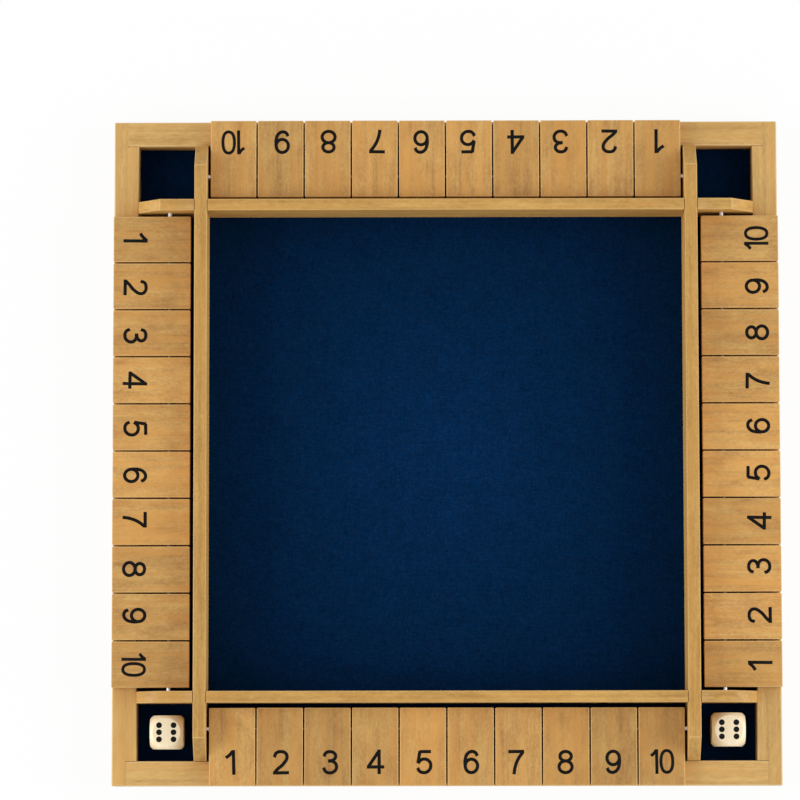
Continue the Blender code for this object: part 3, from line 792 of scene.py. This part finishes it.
# %% Flat sides of the die
for axis in range(3):
    for side in (-1, 1):
        only(die)
        bpy.ops.object.mode_set(mode="EDIT")
        bpy.ops.mesh.select_mode(type="VERT")
        bpy.ops.mesh.select_all(action="DESELECT")
        shape = bmesh.from_edit_mesh(die.data)
        for vert in shape.verts:
            vert.select_set(side * vert.co[axis] > die_half)
        bmesh.update_edit_mesh(die.data)
        press = [0.0 if i == axis else 1.0 for i in range(3)]
        wall = [side * die_half if i == axis else 0.0 for i in range(3)]
        bpy.ops.transform.resize(value=press, center_override=wall)
        bpy.ops.object.mode_set(mode="OBJECT")
finish_with(die, "SMOOTH", factor=0.5, iterations=1)
print("die box mm:", [round(v / MM, 2) for v in die.dimensions])

# %% [markdown]
# The pips are shallow round dimples with a drop of black paint in each. Both come from one flattened
# ball: whole, it cuts the dimples with a Boolean, and cut off at the paint's level it is the drop. Opposite
# faces add up to seven.

# %% Pips
FACES = {6: Matrix.Identity(4), 1: Matrix.Rotation(math.pi, 4, "X"),
         5: Matrix.Rotation(math.pi / 2, 4, "X"), 2: Matrix.Rotation(-math.pi / 2, 4, "X"),
         4: Matrix.Rotation(math.pi / 2, 4, "Y"), 3: Matrix.Rotation(-math.pi / 2, 4, "Y")}


def pip_spots(count):
    """Columns and rows of a face's pips."""
    corners = [(-1, -1), (1, 1)]
    corners += [(-1, 1), (1, -1)] if count >= 4 else []
    corners += [(-1, 0), (1, 0)] if count == 6 else []
    return ([(0, 0)] if count % 2 else []) + (corners if count > 1 else [])


def pips(name, shrink, cap):
    """All 21 pips as flattened balls, or as drops cut off at the height called cap."""
    bpy.ops.mesh.primitive_uv_sphere_add(segments=24, ring_count=12, radius=1)
    drop = started("drop")
    if cap is not None:
        bpy.ops.object.mode_set(mode="EDIT")
        bpy.ops.mesh.select_all(action="SELECT")
        bpy.ops.mesh.bisect(plane_co=(0, 0, cap), plane_no=(0, 0, 1), clear_outer=True, use_fill=True)
        bpy.ops.object.mode_set(mode="OBJECT")
    size = Matrix.Diagonal((PIP_RADIUS - shrink, PIP_RADIUS - shrink, PIP_DEPTH - shrink, 1))
    drops = []
    for count, facing in FACES.items():
        for column, row in pip_spots(count):
            spot = Matrix.Translation((column * PIP_COLUMN, row * PIP_ROW, die_half))
            drops.append(put(drop, facing @ spot @ size, name))
    bpy.data.objects.remove(drop)
    only(drops[0])
    for other in drops:
        other.select_set(True)
    bpy.ops.object.join()
    return bpy.context.object


cut(die, pips("dimples", 0.0, None))
smooth(die, 35)
paint = pips("pip_paint", PAINT_CLEAR, PAINT_LEVEL)
smooth(paint, 40)
print("die faces:", len(die.data.polygons), "paint faces:", len(paint.data.polygons))

# %% [markdown]
# Beech is pale and even, with tiny short flecks along the grain. A thin coat of wax gives the rims their
# soft shine. The pips are black paint.

# %% Beech and paint
FLECKS_PER_METRE = (900, 180, 900)  # flecks 1.1 mm wide and 5.6 mm long, drawn coarser than real ones
PAINT_FILM = 0.8 * MM
beech, shader = new_finish("waxed_beech", IOR=1.5, Coat_Weight=0.5, Coat_Roughness=0.3)
place = add_node(beech, "TexCoord").outputs["Object"]
along = add_node(beech, "Mapping", {0: place, "Scale": FLECKS_PER_METRE}).outputs[0]
fleck = add_node(beech, "TexNoise", {0: along, "Scale": 1.0, "Detail": 3.0, "Roughness": 0.6}).outputs[0]
flecks = add_node(beech, "MapRange", {0: fleck, 1: 0.35, 2: 0.75}).outputs[0]
pale = add_node(beech, "Mix", {0: flecks, 6: srgb("#fff2d0"), 7: srgb("#ffe5ba")}, data_type="RGBA").outputs[2]
waxed = add_node(beech, "MapRange", {0: fleck, 3: 0.26, 4: 0.36}).outputs[0]
grain = add_node(beech, "Bump", {"Height": fleck, "Distance": GRAIN_BUMP, "Strength": 0.4}).outputs[0]
for socket, source in (("Base Color", pale), ("Roughness", waxed), ("Normal", grain)):
    beech.node_tree.links.new(source, shader.inputs[socket])

black, shader = new_finish("black_enamel", IOR=1.5, Specular_IOR_Level=0.15)
place = add_node(black, "TexCoord").outputs["Object"]
film = add_node(black, "TexNoise", {0: place, "Scale": 1 / PAINT_FILM}).outputs[0]
tint = add_node(black, "Mix", {0: film, 6: srgb("#050403"), 7: srgb("#0d0a08")}, data_type="RGBA").outputs[2]
gloss = add_node(black, "MapRange", {0: film, 3: 0.25, 4: 0.4}).outputs[0]
black.node_tree.links.new(tint, shader.inputs["Base Color"])
black.node_tree.links.new(gloss, shader.inputs["Roughness"])

for node in ("die_west", "die_east"):
    place = Matrix.Translation(middle_of(node) - Vector((0, 0, DIE_TUMBLED)))
    dress(put(die, place, node + "_tumbled"), beech, "die_wood", node, node)
    dress(put(paint, place, node + "_pips"), black, "pip_paint", node)
bpy.data.objects.remove(die)
bpy.data.objects.remove(paint)
print("dice:", 2)

# %% [markdown]
# ## Floor and light
#
# The board lies on a seamless white table. A table lit until it is white would flood the object, so most of
# what the camera sees of it is plain white, and the rest is a matt surface that keeps the board's soft
# shadow.

# %% Floor
WHITE_SHARE = 0.93
FLOOR_SIZE = 10
FLOOR_DROP = 0.0002  # m below the board, so that the two never share a plane
bpy.ops.mesh.primitive_plane_add(size=FLOOR_SIZE, location=(0, 0, -FLOOR_DROP))
floor = started("floor")
table, shader = new_finish("white_table", Roughness=0.9, Base_Color=srgb("#fafafa"))
path = add_node(table, "LightPath").outputs
seen = add_node(table, "Math", {0: path["Is Camera Ray"], 1: path["Is Glossy Ray"]}, operation="ADD").outputs[0]
seen = add_node(table, "Math", {0: seen, 1: path["Is Transmission Ray"]}, operation="ADD",
                use_clamp=True).outputs[0]
share = add_node(table, "Math", {0: seen, 1: WHITE_SHARE}, operation="MULTIPLY").outputs[0]
white = add_node(table, "Emission", {"Strength": 1.0}).outputs[0]
mixed = add_node(table, "MixShader", {0: share, 1: shader.outputs[0], 2: white}).outputs[0]
table.node_tree.links.new(mixed, table.node_tree.nodes["Material Output"].inputs[0])
floor.data.materials.append(table)
print("floor:", table.name)

# %% [markdown]
# The room is a soft even fill, which stays below white where it lights the object and is white where the
# camera or a reflection sees it.

# %% World
FILL = 0.57
world = bpy.data.worlds.new("studio")
world.use_nodes = True
bpy.context.scene.world = world
background = world.node_tree.nodes["Background"]
background.inputs[0].default_value = (1, 1, 1, 1)
path = add_node(world, "LightPath").outputs
seen = add_node(world, "Math", {0: path["Is Camera Ray"], 1: path["Is Glossy Ray"]}, operation="ADD").outputs[0]
seen = add_node(world, "Math", {0: seen, 1: path["Is Transmission Ray"]}, operation="ADD",
                use_clamp=True).outputs[0]
level = add_node(world, "MapRange", {0: seen, 3: FILL, 4: 1.0}).outputs[0]
world.node_tree.links.new(level, background.inputs[1])
print("world fill:", FILL)

# %% [markdown]
# Two large soft boxes stand low to the left and the right. They brighten the faces that look sideways, such
# as the inner faces of the dividers, and leave the trays and the lanes dark.


# %% Lamps
BOX_SIZE = 1.2  # m, the side of a lamp
BOX_POWER = 18  # W
BOX_PLACES = {"left_box": (-1.6, -0.1, 0.70), "right_box": (1.6, -0.1, 0.70)}


def soft_box(name, place):
    """A square area lamp that faces the board."""
    lamp = bpy.data.lights.new(name, "AREA")
    lamp.size = BOX_SIZE
    lamp.energy = BOX_POWER
    item = bpy.data.objects.new(name, lamp)
    bpy.context.scene.collection.objects.link(item)
    item.location = place
    item.rotation_euler = (-Vector(place)).to_track_quat("-Z", "Y").to_euler()
    item.visible_camera = False


for name, place in BOX_PLACES.items():
    soft_box(name, place)
print("lamps:", len(BOX_PLACES))
